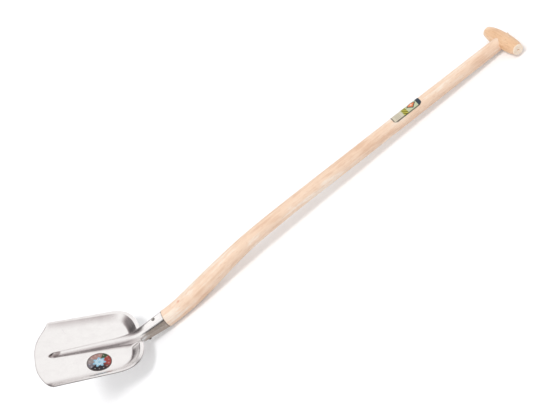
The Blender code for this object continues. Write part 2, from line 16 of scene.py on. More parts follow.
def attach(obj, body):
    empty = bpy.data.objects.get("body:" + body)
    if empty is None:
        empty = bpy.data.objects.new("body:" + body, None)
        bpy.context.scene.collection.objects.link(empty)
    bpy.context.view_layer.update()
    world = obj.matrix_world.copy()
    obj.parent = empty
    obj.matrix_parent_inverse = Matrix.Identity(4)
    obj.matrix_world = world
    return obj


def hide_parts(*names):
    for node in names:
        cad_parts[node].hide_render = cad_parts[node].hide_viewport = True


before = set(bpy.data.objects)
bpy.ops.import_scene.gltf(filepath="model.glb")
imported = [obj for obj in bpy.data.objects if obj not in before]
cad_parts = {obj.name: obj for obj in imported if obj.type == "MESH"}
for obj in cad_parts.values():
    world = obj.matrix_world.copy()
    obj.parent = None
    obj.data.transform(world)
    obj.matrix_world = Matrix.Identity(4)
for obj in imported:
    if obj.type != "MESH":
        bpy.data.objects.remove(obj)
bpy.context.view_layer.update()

# Where the blade's frame lies when the shovel rests on the floor: tipped about Y, then shifted.
# Both values are the ones that the part's source works out.
REST_TILT = math.radians(39.39086549)
REST_SHIFT = (-0.65493858, 0.0, 0.18314494)
REST = Matrix.Translation(REST_SHIFT) @ Matrix.Rotation(REST_TILT, 4, "Y")

ACROSS = Vector((0.0, 1.0, 0.0))

# Clearance between pieces that fit into each other
GAP = 0.0003

# Blade
SHEET = 0.002
BLADE_LENGTH = 0.2508
BLADE_WIDTH = 0.2157
BLADE_TAPER = 0.0042
FRONT_BULGE = 0.0369
FRONT_POWER = 2.2
HEEL_CORNER = 0.0794
HEEL_POWER = 2.83
FRONT_HEIGHT = 0.0086
SIDE_HEIGHT = 0.0100
HEEL_HEIGHT = 0.0136
SIDE_WALL_RUN = 0.038
SIDE_WALL_POWER = 3.0
HEEL_WALL_RUN = 0.020
HEEL_WALL_POWER = 1.5
FRONT_LIP = 0.004
HEEL_LIP = 0.0095
LIP_RISE = 0.0016
LIP_NOTCH = 0.0105

# Rib
RIB_START = 0.0335
RIB_NOSE = 0.011
RIB_SINK = 0.004
RIB_RADIUS = 0.0095
NOSE_BLEND = 0.0014
NOSE_SLOPE = 1.4
NOSE_FILLET = 0.0012
HEEL_FILLET = 0.011
FILLET_WEIGHT = 1.5
BEND_REACH = 2.0

# Socket
SOCKET_LIFT = math.radians(32.3)
SOCKET_HEIGHT = 0.0124
SOCKET_LENGTH = 0.0713
SOCKET_HEEL_RADIUS = 0.0183
SOCKET_MOUTH_RADIUS = 0.0221
SEAM_HALF_ANGLE = math.radians(8.0)
WING_RUN = 0.010
SOCKET_FACETS = 9

# Handle
HANDLE_LENGTH = 1.022
RADIUS_AT = (0.0, 0.045, 0.11, 0.16, 0.22, 0.30, 0.45, 0.70, 1.02)
HANDLE_RADIUS = (0.0222, 0.0225, 0.0237, 0.0225, 0.0206, 0.0190, 0.0181, 0.0173, 0.0151)
RADIUS_BLEND = 0.018
TAIL_LENGTH = 0.070
TAIL_CHAMFER = 0.006
BEND_AT = (0.0, 0.05, 0.13, 0.22, 0.32, 0.45)
BEND_LIFT = (32.3, 41.9, 46.4, 45.7, 38.9, 37.0)
HANDLE_SIDES = 56
HANDLE_STEP = 0.007

# Grip
GRIP_LENGTH = 0.1205
GRIP_RADIUS = 0.0178
GRIP_END_RADIUS = 0.0123
GRIP_BELLY = 0.016
GRIP_EDGE = 0.0012
SEAT_DEPTH = 0.0104
TENON_RADIUS = 0.009
TENON_PROUD = 0.0003
TENON_CHAMFER = 0.0016

# Wedge
WEDGE_LENGTH = 0.017
WEDGE_WIDTH = 0.0166
WEDGE_THICK = 0.0030
WEDGE_THIN = 0.0012

# Labels
BLADE_LABEL_FROM_HEEL = 0.1081
BLADE_LABEL_FROM_EDGE = 0.0572
BLADE_LABEL_RADIUS = 0.0290
HANDLE_LABEL_START = 0.717
HANDLE_LABEL_LENGTH = 0.077

# Rows and columns of the fine sheet
RIB_COLUMNS = 25
LIP_COLUMNS = 7
WALL_COLUMNS = 14
FLOOR_COLUMNS = 8
FRONT_ROWS = 9
NOSE_ROWS = 18
BODY_ROWS = 22
FAN_ROWS = 12
REAR_ROWS = 34
WING_ROWS = 10
SOCKET_ROWS = 14
FAN_START = 0.150
OUTLINE_POINTS = 700
NOSE_STEP = 0.0003
NOSE_LEAD = 0.0014
NOSE_CROWDING = 1.7
WALL_CROWDING = 1.5
PATH_SAMPLES = 161


def mesh_from(name, points, faces):
    mesh = bpy.data.meshes.new(name)
    mesh.from_pydata([tuple(point) for point in points], [], faces)
    mesh.validate()
    return mesh


def mesh_of(name, body):
    """Turns a bmesh into a mesh and frees it."""
    mesh = bpy.data.meshes.new(name)
    body.to_mesh(mesh)
    body.free()
    return mesh


def add(name, data, matrix):
    thing = bpy.data.objects.new(name, data)
    bpy.context.scene.collection.objects.link(thing)
    thing.matrix_world = matrix
    return thing


def place(name, mesh, finish, matrix=REST):
    mesh.materials.append(finish)
    return add(name, mesh, matrix)


def settle(piece, angle=math.radians(40.0)):
    """Applies the piece's modifiers and shades it smooth, with creases sharper than the angle."""
    bpy.context.view_layer.update()
    graph = bpy.context.evaluated_depsgraph_get()
    mesh = bpy.data.meshes.new_from_object(piece.evaluated_get(graph))
    mesh.name = piece.name
    piece.modifiers.clear()
    piece.data = mesh
    mesh.shade_smooth()
    mesh.set_sharp_from_angle(angle=angle)


def cut(piece, cutter):
    """Cuts the cutter out of the piece and removes it."""
    boolean = piece.modifiers.new("Cut", "BOOLEAN")
    boolean.operation = "DIFFERENCE"
    boolean.object = cutter
    boolean.solver = "EXACT"
    settle(piece)
    bpy.data.objects.remove(cutter, do_unlink=True)


def finish_piece(piece, node):
    """Writes the piece's shape in world metres, and puts it in the node's place."""
    piece.data.transform(piece.matrix_world)
    piece.matrix_world = Matrix.Identity(4)
    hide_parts(node)
    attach(piece, "root")


def grid_faces(rows, columns, first=0):
    faces = []
    for row in range(rows - 1):
        for column in range(columns - 1):
            corner = first + row * columns + column
            faces.append((corner, corner + columns, corner + columns + 1, corner + 1))
    return faces


# Blade

BEND_CORNER = BLADE_LENGTH - (SOCKET_HEIGHT + RIB_SINK) / math.tan(SOCKET_LIFT)
BEND_SIDE = (SOCKET_HEIGHT + RIB_SINK) / math.sin(SOCKET_LIFT)
BEND_START = BEND_CORNER - BEND_REACH * BEND_SIDE
SOCKET_AXIS = Vector((math.cos(SOCKET_LIFT), 0.0, math.sin(SOCKET_LIFT)))
SOCKET_HEEL = Vector((BLADE_LENGTH, 0.0, SOCKET_HEIGHT))
SOCKET_MOUTH = SOCKET_HEEL + SOCKET_AXIS * SOCKET_LENGTH
NOSE_END = RIB_START + RIB_NOSE
CLIMB_START = BLADE_LENGTH - HEEL_LIP - HEEL_WALL_RUN
CLIMB_END = BLADE_LENGTH - HEEL_LIP / 3


def socket_radius(along):
    return SOCKET_HEEL_RADIUS + (SOCKET_MOUTH_RADIUS - SOCKET_HEEL_RADIUS) * along / SOCKET_LENGTH


def rib_station(x):
    """Centre, up direction and radius of the rib's or socket's section whose centre is at x."""
    if x <= BEND_START:
        centre = Vector((x, 0.0, -RIB_SINK))
        slope = 0.0
    elif x < BLADE_LENGTH:
        first = BEND_CORNER - BEND_START
        second = BLADE_LENGTH - BEND_CORNER
        a = second - first
        t = (math.sqrt(first * first + a * (x - BEND_START)) - first) / a
        rise = SOCKET_HEIGHT + RIB_SINK
        centre = Vector((x, 0.0, -RIB_SINK + rise * t * t))
        slope = math.atan2(rise * t, first * (1.0 - t) + second * t)
    else:
        centre = SOCKET_HEEL + SOCKET_AXIS * ((x - BLADE_LENGTH) / math.cos(SOCKET_LIFT))
        slope = SOCKET_LIFT
    along = (x - RIB_START) / (BLADE_LENGTH - RIB_START)
    radius = RIB_RADIUS + (SOCKET_HEEL_RADIUS - RIB_RADIUS) * max(along, 0.0)
    if x > BLADE_LENGTH:
        radius = socket_radius((x - BLADE_LENGTH) / math.cos(SOCKET_LIFT))
    if x < NOSE_END:
        reach = RIB_NOSE / math.sqrt(1.0 - (RIB_SINK / radius) ** 2)
        radius *= math.sqrt(max(1.0 - ((NOSE_END - x) / reach) ** 2, 0.0))
    return centre, upward(slope), radius


def rim_outline():
    """Half of the blade's rim from the front corner to the socket.

    Each row is x, y, wall height, lip width, and the wall's run and power.
    """
    corner_start = BLADE_LENGTH - HEEL_CORNER
    rear = (BLADE_WIDTH - BLADE_TAPER) / 2
    last = math.acos(((SOCKET_HEEL_RADIUS + LIP_NOTCH) / rear) ** (HEEL_POWER / 2))
    side = np.linspace(0.0, 1.0, OUTLINE_POINTS)
    along = np.sin(last * side[1:]) ** (2 / HEEL_POWER)
    across = np.cos(last * side[1:]) ** (2 / HEEL_POWER)
    x = np.concatenate([FRONT_BULGE + (corner_start - FRONT_BULGE) * side,
                        corner_start + HEEL_CORNER * along])
    y = np.concatenate([(BLADE_WIDTH - BLADE_TAPER * side) / 2, rear * across])
    height = np.concatenate([FRONT_HEIGHT + (SIDE_HEIGHT - FRONT_HEIGHT) * side,
                             SIDE_HEIGHT + (HEEL_HEIGHT - SIDE_HEIGHT) * along])
    share = (x - FRONT_BULGE) / (BLADE_LENGTH - FRONT_BULGE)
    lip = FRONT_LIP + (HEEL_LIP - FRONT_LIP) * share
    around = np.concatenate([np.zeros(OUTLINE_POINTS), along])
    run = SIDE_WALL_RUN + (HEEL_WALL_RUN - SIDE_WALL_RUN) * around
    power = SIDE_WALL_POWER + (HEEL_WALL_POWER - SIDE_WALL_POWER) * around
    return np.column_stack([x, y, height, lip, run, power])


RIM = rim_outline()


def rim_distance(x, y):
    """Distance in plan from the rim, then the nearest rim point's height, lip, run and power."""
    gap = np.hypot(RIM[:, 0] - x, RIM[:, 1] - abs(y))
    nearest = int(gap.argmin())
    return (gap[nearest], *RIM[nearest, 2:])


def pan_height(x, y):
    """Height of the pan's upper face, without the rib."""
    gap, height, lip, run, power = rim_distance(x, y)
    if gap < lip:
        return height + LIP_RISE * (1.0 - gap / lip)
    t = min((gap - lip) / run, 1.0)
    return height * (1.0 - t) ** power


def section_point(station, angle):
    centre, up, radius = station
    return centre + up * (radius * math.cos(angle)) + ACROSS * (radius * math.sin(angle))


def fillet_radius(x):
    """Radius between the rib's side and the pan: it opens out towards the heel, then closes."""
    return float(np.interp(x, (NOSE_END, CLIMB_START, CLIMB_END), (NOSE_FILLET, HEEL_FILLET, 0.0)))


def rib_section(x):
    """Points from the rib's crest down its arc and its fillet to the pan, and the arc's end angle."""
    station = rib_station(x)
    centre, up, radius = station
    fillet = fillet_radius(x)
    # The fillet's height and its distance from the middle depend on each other, so they are refined
    level = 0.0
    for _ in range(60):
        side = math.sqrt((radius + fillet) ** 2 - (level + fillet) ** 2)
        pan = pan_height(centre.x + up.x * level, side)
        level = (level + (pan - centre.z) / up.z) / 2
    turn = math.atan2(side, level + fillet)
    fillet_centre = centre + up * (level + fillet) + ACROSS * side
    share = radius / (radius + FILLET_WEIGHT * fillet)
    points = []
    for along in np.linspace(0.0, 1.0, RIB_COLUMNS):
        if along <= share:
            points.append(section_point(station, turn * along / share))
        else:
            angle = turn * (1.0 - along) / (1.0 - share)
            inward = up * math.cos(angle) + ACROSS * math.sin(angle)
            points.append(fillet_centre - inward * fillet)
    return points, turn


def blade_stations():
    """Centre positions of the rows: dense at the rib's nose and where the rib climbs the heel."""
    front = np.linspace(0.0, RIB_START - NOSE_LEAD, FRONT_ROWS)
    tip = RIB_START - np.arange(3, 0, -1) * NOSE_STEP
    nose = RIB_START + RIB_NOSE * (np.linspace(0.0, 1.0, NOSE_ROWS + 1) ** NOSE_CROWDING)[:-1]
    body = np.linspace(NOSE_END, FAN_START, BODY_ROWS + 1)[:-1]
    fan = np.linspace(FAN_START, CLIMB_START, FAN_ROWS + 1)[:-1]
    rear = np.linspace(CLIMB_START, CLIMB_END, REAR_ROWS)
    return np.concatenate([front, tip, nose, body, fan, rear])


def rim_targets(stations):
    """Rim point for each row: along the side first, then evenly round the heel corner."""
    travelled = np.concatenate([[0.0], np.cumsum(np.hypot(*np.diff(RIM[:, :2], axis=0).T))])
    corner = travelled[OUTLINE_POINTS - 1]
    on_side = stations[stations < FAN_START] / FAN_START * corner
    on_corner = np.linspace(corner, travelled[-1], FAN_ROWS + REAR_ROWS)
    distance = np.concatenate([on_side, on_corner])
    return np.column_stack([np.interp(distance, travelled, RIM[:, k]) for k in range(2)])


def rib_row(x):
    """Points over the rib from its crest to its foot. The rounded nose rises softly from the pan."""
    row, end_angle = rib_section(max(x, NOSE_END))
    if x >= NOSE_END:
        return row, end_angle
    centre, _, radius = rib_station(max(x, RIB_START))
    sunk = NOSE_SLOPE * max(RIB_START - x, 0.0)
    flat = []
    for point in row:
        pan = pan_height(x, point.y)
        rise = centre.z - sunk + math.sqrt(max(radius * radius - point.y * point.y, 0.0)) - pan
        if rise < NOSE_BLEND:
            rise = max(rise + NOSE_BLEND, 0.0) ** 2 / (4 * NOSE_BLEND)
        flat.append(Vector((x, point.y, pan + rise)))
    return flat, end_angle


def pan_row(foot, rim, bow):
    """Points from the rib's foot out to the rim, closer together on the lip and the wall."""
    samples = np.linspace(0.0, 1.0, PATH_SAMPLES)
    path_y = rim[1] + (foot.y - rim[1]) * samples
    path_x = foot.x + (rim[0] - foot.x) * (1.0 - samples) ** bow
    gaps = np.array([rim_distance(x, y)[0] for x, y in zip(path_x, path_y)])
    # Interpolation needs distances that always grow
    gaps = np.maximum.accumulate(gaps)
    gaps += np.arange(len(gaps)) * 1e-9
    _, _, lip, run, _ = rim_distance(*rim)
    lip_share = np.interp(min(lip, 0.45 * gaps[-1]), gaps, samples)
    wall_share = np.interp(min(lip + run, 0.88 * gaps[-1]), gaps, samples)
    lips = np.linspace(0.0, lip_share, LIP_COLUMNS + 1)
    spread = np.linspace(0.0, 1.0, WALL_COLUMNS + 1)[1:] ** WALL_CROWDING
    walls = lip_share + (wall_share - lip_share) * spread
    floors = np.linspace(wall_share, 1.0, FLOOR_COLUMNS + 1)[1:-1]
    shares = np.concatenate([lips, walls, floors])[::-1]
    xs = np.interp(shares, samples, path_x)
    ys = np.interp(shares, samples, path_y)
    return [(x, y, pan_height(x, y)) for x, y in zip(xs, ys)]


def blade_sheet():
    """Upper face of half the sheet, on the +Y side: the pan's rows, then the socket's rows."""
    stations = blade_stations()
    points = []
    for x, rim in zip(stations, rim_targets(stations)):
        row, end_angle = rib_row(x)
        bow = 1.0 + (FRONT_POWER - 1.0) * max(1.0 - x / RIB_START, 0.0)
        points += row + pan_row(row[-1], rim, bow)
    columns = len(points) // len(stations)
    faces = grid_faces(len(stations), columns)
    join = len(points) - columns
    mouth = SOCKET_LENGTH + (BLADE_LENGTH - stations[-1]) / math.cos(SOCKET_LIFT)
    wing = np.linspace(0.0, WING_RUN, WING_ROWS + 1)[1:]
    tube = np.linspace(WING_RUN, mouth, SOCKET_ROWS + 1)[1:]
    first = len(points)
    for run in np.concatenate([wing, tube]):
        station = rib_station(stations[-1] + run * math.cos(SOCKET_LIFT))
        spread = math.sin(math.pi / 2 * min(run / WING_RUN, 1.0))
        widest = end_angle + (math.pi - SEAM_HALF_ANGLE - end_angle) * spread
        points += [section_point(station, widest * k / (RIB_COLUMNS - 1)) for k in range(RIB_COLUMNS)]
    rows = (len(points) - first) // RIB_COLUMNS
    for k in range(RIB_COLUMNS - 1):
        faces.append((join + k, first + k, first + k + 1, join + k + 1))
    faces += grid_faces(rows, RIB_COLUMNS, first)
    return points, faces


def make_blade(finish, edge_finish):
    """The pressed sheet, with its own finish on the sheared edge."""
    points, faces = blade_sheet()
    blade = place("pressed_blade", mesh_from("pressed_blade", points, faces), finish)
    blade.data.materials.append(edge_finish)
    mirror = blade.modifiers.new("Other half", "MIRROR")
    mirror.use_axis = (False, True, False)
    mirror.merge_threshold = 0.00005
    solid = blade.modifiers.new("Sheet", "SOLIDIFY")
    solid.thickness = SHEET
    solid.offset = -1.0
    solid.use_even_offset = True
    solid.use_quality_normals = True
    solid.material_offset_rim = 1
    soft = blade.modifiers.new("Broken edges", "BEVEL")
    soft.width = 0.0004
    soft.segments = 2
    soft.limit_method = "ANGLE"
    soft.angle_limit = math.radians(60.0)
    settle(blade, math.radians(50.0))
    finish_piece(blade, "blade")


# Handle

SHOULDER_STEP = 0.0006
SEAT_STEP = 0.0004


def upward(lift):
    """Direction in the blade's middle plane at a right angle to a line that rises by the lift."""
    return Vector((-math.sin(lift), 0.0, math.cos(lift)))


def handle_lift(distance):
    return math.radians(float(np.interp(distance, BEND_AT, BEND_LIFT)))


def handle_path(distances):
    """Centre of the handle at each distance from the socket's mouth."""
    steps = np.linspace(0.0, HANDLE_LENGTH, 1200)
    lifts = np.array([handle_lift(step) for step in steps])
    middle = (lifts[1:] + lifts[:-1]) / 2
    run = np.diff(steps)
    xs = SOCKET_MOUTH.x + np.concatenate([[0.0], np.cumsum(np.cos(middle) * run)])
    zs = SOCKET_MOUTH.z + np.concatenate([[0.0], np.cumsum(np.sin(middle) * run)])
    return [Vector((np.interp(d, steps, xs), 0.0, np.interp(d, steps, zs))) for d in distances]


def handle_radius(distance):
    near = [distance - RADIUS_BLEND, distance, distance + RADIUS_BLEND]
    return float(np.interp(near, RADIUS_AT, HANDLE_RADIUS).mean())


HEAD_LIFT = handle_lift(HANDLE_LENGTH)
HEAD_AXIS = Vector((math.cos(HEAD_LIFT), 0.0, math.sin(HEAD_LIFT)))
HEAD_UP = upward(HEAD_LIFT)
GRIP_CENTRE = handle_path([HANDLE_LENGTH])[0]
SEAT = HANDLE_LENGTH - GRIP_RADIUS + SEAT_DEPTH
TENON_END = HANDLE_LENGTH + GRIP_RADIUS + TENON_PROUD


def aim(axis, side, centre):
    """Matrix whose Z runs along the axis and whose X is the side direction."""
    z = axis.normalized()
    x = side.normalized()
    turn = Matrix((x, z.cross(x), z)).transposed().to_4x4()
    return Matrix.Translation(centre) @ turn


def handle_rings():
    """Distance from the mouth, centre, lift and radius of each ring, from tail to tenon."""
    # The solid's socket is a faceted tube, and the tail has to clear the flats
    facet = math.cos((math.pi - SEAM_HALF_ANGLE) / SOCKET_FACETS / 2)

    def bore(along):
        return socket_radius(along) * facet - SHEET - GAP

    rings = []
    for back, shrink in ((TAIL_LENGTH, TAIL_CHAMFER), (TAIL_LENGTH - TAIL_CHAMFER, 0.0), (-2 * GAP, 0.0)):
        radius = bore(min(SOCKET_LENGTH - back, SOCKET_LENGTH)) - shrink
        rings.append((-back, SOCKET_MOUTH - SOCKET_AXIS * back, SOCKET_LIFT, radius))
    between_ends = np.linspace(4 * GAP, SEAT - SEAT_STEP, round(SEAT / HANDLE_STEP))
    shaft = np.concatenate([[3 * GAP], between_ends, [SEAT]])
    radii = [handle_radius(d) for d in shaft]
    radii[0] -= SHOULDER_STEP
    for d, centre, radius in zip(shaft, handle_path(shaft), radii):
        rings.append((d, centre, handle_lift(d), radius))
    for d, radius in ((SEAT + GAP / 2, TENON_RADIUS), (TENON_END - TENON_CHAMFER, TENON_RADIUS),
                      (TENON_END, TENON_RADIUS - TENON_CHAMFER)):
        rings.append((d, GRIP_CENTRE + HEAD_AXIS * (d - HANDLE_LENGTH), HEAD_LIFT, radius))
    return rings


def lay_grain(mesh, rings):
    """Stores each point's place in the straightened shaft: up, across and along."""
    centres = np.array([tuple(centre) for _, centre, _, _ in rings])
    points = np.empty(len(mesh.vertices) * 3)
    mesh.vertices.foreach_get("co", points)
    grain = mesh.attributes.new("grain", "FLOAT_VECTOR", "POINT")
    straight = []
    for point in points.reshape(-1, 3):
        distance, centre, lift, _ = rings[int(np.hypot(*(centres - point)[:, ::2].T).argmin())]
        offset = Vector(point) - centre
        up = -offset.x * math.sin(lift) + offset.z * math.cos(lift)
        along = offset.x * math.cos(lift) + offset.z * math.sin(lift)
        straight += [up, offset.y, distance + along]
    grain.data.foreach_set("vector", straight)


def make_handle(finish):
    """Round shaft swept along its path. Its grain follows the bend, by a straightened position."""
    rings = handle_rings()
    points = []
    for _, centre, lift, radius in rings:
        station = centre, upward(lift), radius
        points += [section_point(station, 2 * math.pi * k / HANDLE_SIDES) for k in range(HANDLE_SIDES)]
    faces = []
    for row in range(len(rings) - 1):
        for k in range(HANDLE_SIDES):
            a = row * HANDLE_SIDES + k
            b = row * HANDLE_SIDES + (k + 1) % HANDLE_SIDES
            faces.append((a, a + HANDLE_SIDES, b + HANDLE_SIDES, b))
    faces.append(tuple(range(HANDLE_SIDES)))
    faces.append(tuple(range(len(points) - 1, len(points) - HANDLE_SIDES - 1, -1)))
    handle = place("bent_handle", mesh_from("bent_handle", points, faces), finish)
    cut(handle, add("kerf", kerf_mesh(), REST @ WEDGE_PLACE))
    lay_grain(handle.data, rings)
    finish_piece(handle, "handle")


WEDGE_PLACE = aim(HEAD_AXIS, HEAD_UP, GRIP_CENTRE + HEAD_AXIS * (TENON_END - HANDLE_LENGTH))


def kerf_mesh():
    """The wedge's room: tapered along Z, thin end at the bottom, open at the top, thick along Y."""
    body = bmesh.new()
    bmesh.ops.create_cube(body, size=1.0)
    slope = (WEDGE_THICK - WEDGE_THIN) / WEDGE_LENGTH
    for vertex in body.verts:
        height = WEDGE_THICK if vertex.co.z > 0 else -WEDGE_LENGTH - GAP
        thick = WEDGE_THICK + slope * height + 2 * GAP
        vertex.co = (vertex.co.x * (WEDGE_WIDTH + 2 * GAP), vertex.co.y * thick, height)
    return mesh_of("kerf", body)


# Grip

# The lathe's centre mark in each end: radius, then depth below the end
CENTRE_MARK = ((0.0, 0.0040), (0.0014, 0.0022), (0.0022, 0.0005), (0.0028, 0.0))
END_RINGS = 5
END_INNER = 0.004
TAPER_STEPS = 24
TAPER_POWER = 2.2
TURN_STEPS = 72


def grip_profile():
    """Outline of the crossbar from one end to the other, as radius and height."""
    half = GRIP_LENGTH / 2
    rows = [(radius, half - depth) for radius, depth in CENTRE_MARK]
    rows += [(radius, half) for radius in np.linspace(END_INNER, GRIP_END_RADIUS - GRIP_EDGE, END_RINGS)]
    for step in range(1, END_RINGS):
        angle = math.radians(90.0 * step / END_RINGS)
        rows.append((GRIP_END_RADIUS - GRIP_EDGE + GRIP_EDGE * math.sin(angle),
                     half - GRIP_EDGE + GRIP_EDGE * math.cos(angle)))
    for step in range(TAPER_STEPS + 1):
        t = 1.0 - step / TAPER_STEPS
        height = GRIP_BELLY / 2 + (half - GRIP_EDGE - GRIP_BELLY / 2) * t
        rows.append((GRIP_RADIUS - (GRIP_RADIUS - GRIP_END_RADIUS) * t ** TAPER_POWER, height))
    return rows + [(radius, -height) for radius, height in rows[::-1]]


def make_grip(finish):
    profile = grip_profile()
    mesh = bpy.data.meshes.new("turned_grip")
    edges = [(k, k + 1) for k in range(len(profile) - 1)]
    mesh.from_pydata([(radius, 0.0, height) for radius, height in profile], edges, [])
    grip = place("turned_grip", mesh, finish, REST @ aim(-ACROSS, HEAD_UP, GRIP_CENTRE))
    screw = grip.modifiers.new("Turn", "SCREW")
    screw.axis = "Z"
    screw.steps = TURN_STEPS
    screw.render_steps = TURN_STEPS
    screw.use_merge_vertices = True
    screw.merge_threshold = 0.00002
    settle(grip)
    reach = 2 * GRIP_RADIUS
    seat = GRIP_CENTRE + HEAD_AXIS * (SEAT + GAP - HANDLE_LENGTH - reach)
    for radius, length, start in ((handle_radius(SEAT) + GAP, reach, seat),
                                  (TENON_RADIUS + GAP, 2 * reach, GRIP_CENTRE - HEAD_AXIS * reach)):
        body = bmesh.new()
        bmesh.ops.create_cone(
            body, cap_ends=True, segments=TURN_STEPS, radius1=radius, radius2=radius, depth=length,
            matrix=Matrix.Translation((0.0, 0.0, length / 2)),
        )
        cut(grip, add("bore", mesh_of("bore", body), REST @ aim(HEAD_AXIS, HEAD_UP, start)))
    finish_piece(grip, "grip")


# Materials

# Dark, middle and light wood, the fleck's colour, and how strong the flecks are
PALE_BEECH = ((0.82, 0.555, 0.39), (0.935, 0.70, 0.53), (0.985, 0.84, 0.71), (0.72, 0.42, 0.27), 0.30)
TAN_BEECH = ((0.77, 0.46, 0.26), (0.88, 0.57, 0.35), (0.95, 0.68, 0.47), (0.54, 0.30, 0.15), 0.35)
SAWN_BEECH = ((0.42, 0.24, 0.12), (0.56, 0.34, 0.19), (0.66, 0.43, 0.26), (0.30, 0.16, 0.08), 0.50)

# The knot near the socket, in the straightened shaft, and its half sizes
KNOT = (0.0222, -0.0051, 0.0575)
KNOT_SIZE = (0.006, 0.0042, 0.0060)
KNOT_HALO = (0.87, 0.44, 0.28)
KNOT_HEART = (0.66, 0.26, 0.15)

# End grain on the grip's ends, dark and light
END_GRAIN = ((0.95, 0.75, 0.57), (0.99, 0.87, 0.74))

# Dark and light tone of the bare metals, the colour of a scratch, and the colour of the painted shade
# round the rib's nose
SHEET_STEEL = ((0.885, 0.868, 0.865), (0.94, 0.928, 0.922))
SHEARED_STEEL = ((0.16, 0.14, 0.14), (0.34, 0.31, 0.30))
NAIL_WIRE = ((0.20, 0.19, 0.18), (0.40, 0.38, 0.36))
SCRATCH = (0.66, 0.63, 0.62)
NOSE_SHADE_TONE = (0.25, 0.195, 0.19)

# Painted shade: a dark ring round the rib's nose in place of the dark that its slopes mirror; its middle,
# then its half sizes
NOSE_SHADE_MIDDLE = (0.0455, 0.0, 0.002)
NOSE_SHADE_SIZE = (0.0150, 0.0085, 0.0120)


def new_material(name):
    made = bpy.data.materials.new(name)
    made.use_nodes = True
    tree = made.node_tree
    return made, tree, tree.nodes["Principled BSDF"]


def wire(tree, socket, value):
    if isinstance(value, bpy.types.NodeSocket):
        tree.links.new(value, socket)
    elif isinstance(value, tuple) and socket.type == "RGBA":
        socket.default_value = (*value, 1.0)
    else:
        socket.default_value = value


def ramp(tree, stops, factor, interpolation="LINEAR"):
    node = tree.nodes.new("ShaderNodeValToRGB")
    node.color_ramp.interpolation = interpolation
    elements = node.color_ramp.elements
    while len(elements) < len(stops):
        elements.new(0.5)
    for element, (at, colour) in zip(elements, stops):
        element.position = at
        element.color = (*colour, 1.0)
    tree.links.new(factor, node.inputs["Fac"])
    return node.outputs["Color"]


def noise(tree, vector, scale, detail=3.0, roughness=0.5, stretch=(1.0, 1.0, 1.0)):
    mapping = tree.nodes.new("ShaderNodeMapping")
    mapping.inputs["Scale"].default_value = stretch
    tree.links.new(vector, mapping.inputs["Vector"])
    node = tree.nodes.new("ShaderNodeTexNoise")
    node.inputs["Detail"].default_value = detail
    node.inputs["Roughness"].default_value = roughness
    wire(tree, node.inputs["Scale"], scale)
    tree.links.new(mapping.outputs["Vector"], node.inputs["Vector"])
    return node.outputs["Fac"]


def mix(tree, factor, first, second, blend="MIX"):
    node = tree.nodes.new("ShaderNodeMix")
    node.data_type = "RGBA"
    node.blend_type = blend
    wire(tree, node.inputs[0], factor)
    wire(tree, node.inputs[6], first)
    wire(tree, node.inputs[7], second)
    return node.outputs[2]


def math_node(tree, operation, first, second=0.0, third=0.0):
    node = tree.nodes.new("ShaderNodeMath")
    node.operation = operation
    for socket, value in zip(node.inputs, (first, second, third)):
        wire(tree, socket, value)
    return node.outputs[0]


def product(tree, first, second):
    return math_node(tree, "MULTIPLY", first, second)


def fade(tree, value, low, high, at_low=0.0, at_high=1.0):
    """Smooth step from one level to another as the value goes from low to high."""
    node = tree.nodes.new("ShaderNodeMapRange")
    node.interpolation_type = "SMOOTHSTEP"
    for name, level in (("Value", value), ("From Min", low), ("From Max", high),
                        ("To Min", at_low), ("To Max", at_high)):
        wire(tree, node.inputs[name], level)
    return node.outputs["Result"]


def between(tree, value, low, high, soft=0.03):
    """Mask that is 1 from low to high, with soft edges."""
    rising = fade(tree, value, low - soft, low + soft)
    falling = fade(tree, value, high - soft, high + soft, 1.0, 0.0)
    return product(tree, rising, falling)


def dot(tree, vector, axis):
    node = tree.nodes.new("ShaderNodeVectorMath")
    node.operation = "DOT_PRODUCT"
    tree.links.new(vector, node.inputs[0])
    node.inputs[1].default_value = axis
    return node.outputs["Value"]


def bump(tree, shader, height, distance, strength=1.0):
    node = tree.nodes.new("ShaderNodeBump")
    node.inputs["Distance"].default_value = distance
    node.inputs["Strength"].default_value = strength
    tree.links.new(height, node.inputs["Height"])
    tree.links.new(node.outputs["Normal"], shader.inputs["Normal"])


def new_group(name, inputs, outputs):
    """Empty node group with its sockets: inputs are (name, kind, value), outputs (name, kind)."""
    group = bpy.data.node_groups.new(name, "ShaderNodeTree")
    for label, kind, value in inputs:
        socket = group.interface.new_socket(label, in_out="INPUT", socket_type="NodeSocket" + kind)
        if value is not None:
            socket.default_value = value
    for label, kind in outputs:
        group.interface.new_socket(label, in_out="OUTPUT", socket_type="NodeSocket" + kind)
    return group, group.nodes.new("NodeGroupInput").outputs, group.nodes.new("NodeGroupOutput").inputs


def use_group(tree, group, **values):
    node = tree.nodes.new("ShaderNodeGroup")
    node.node_tree = group
    for name, value in values.items():
        wire(tree, node.inputs[name.replace("_", " ")], value)
    return node.outputs


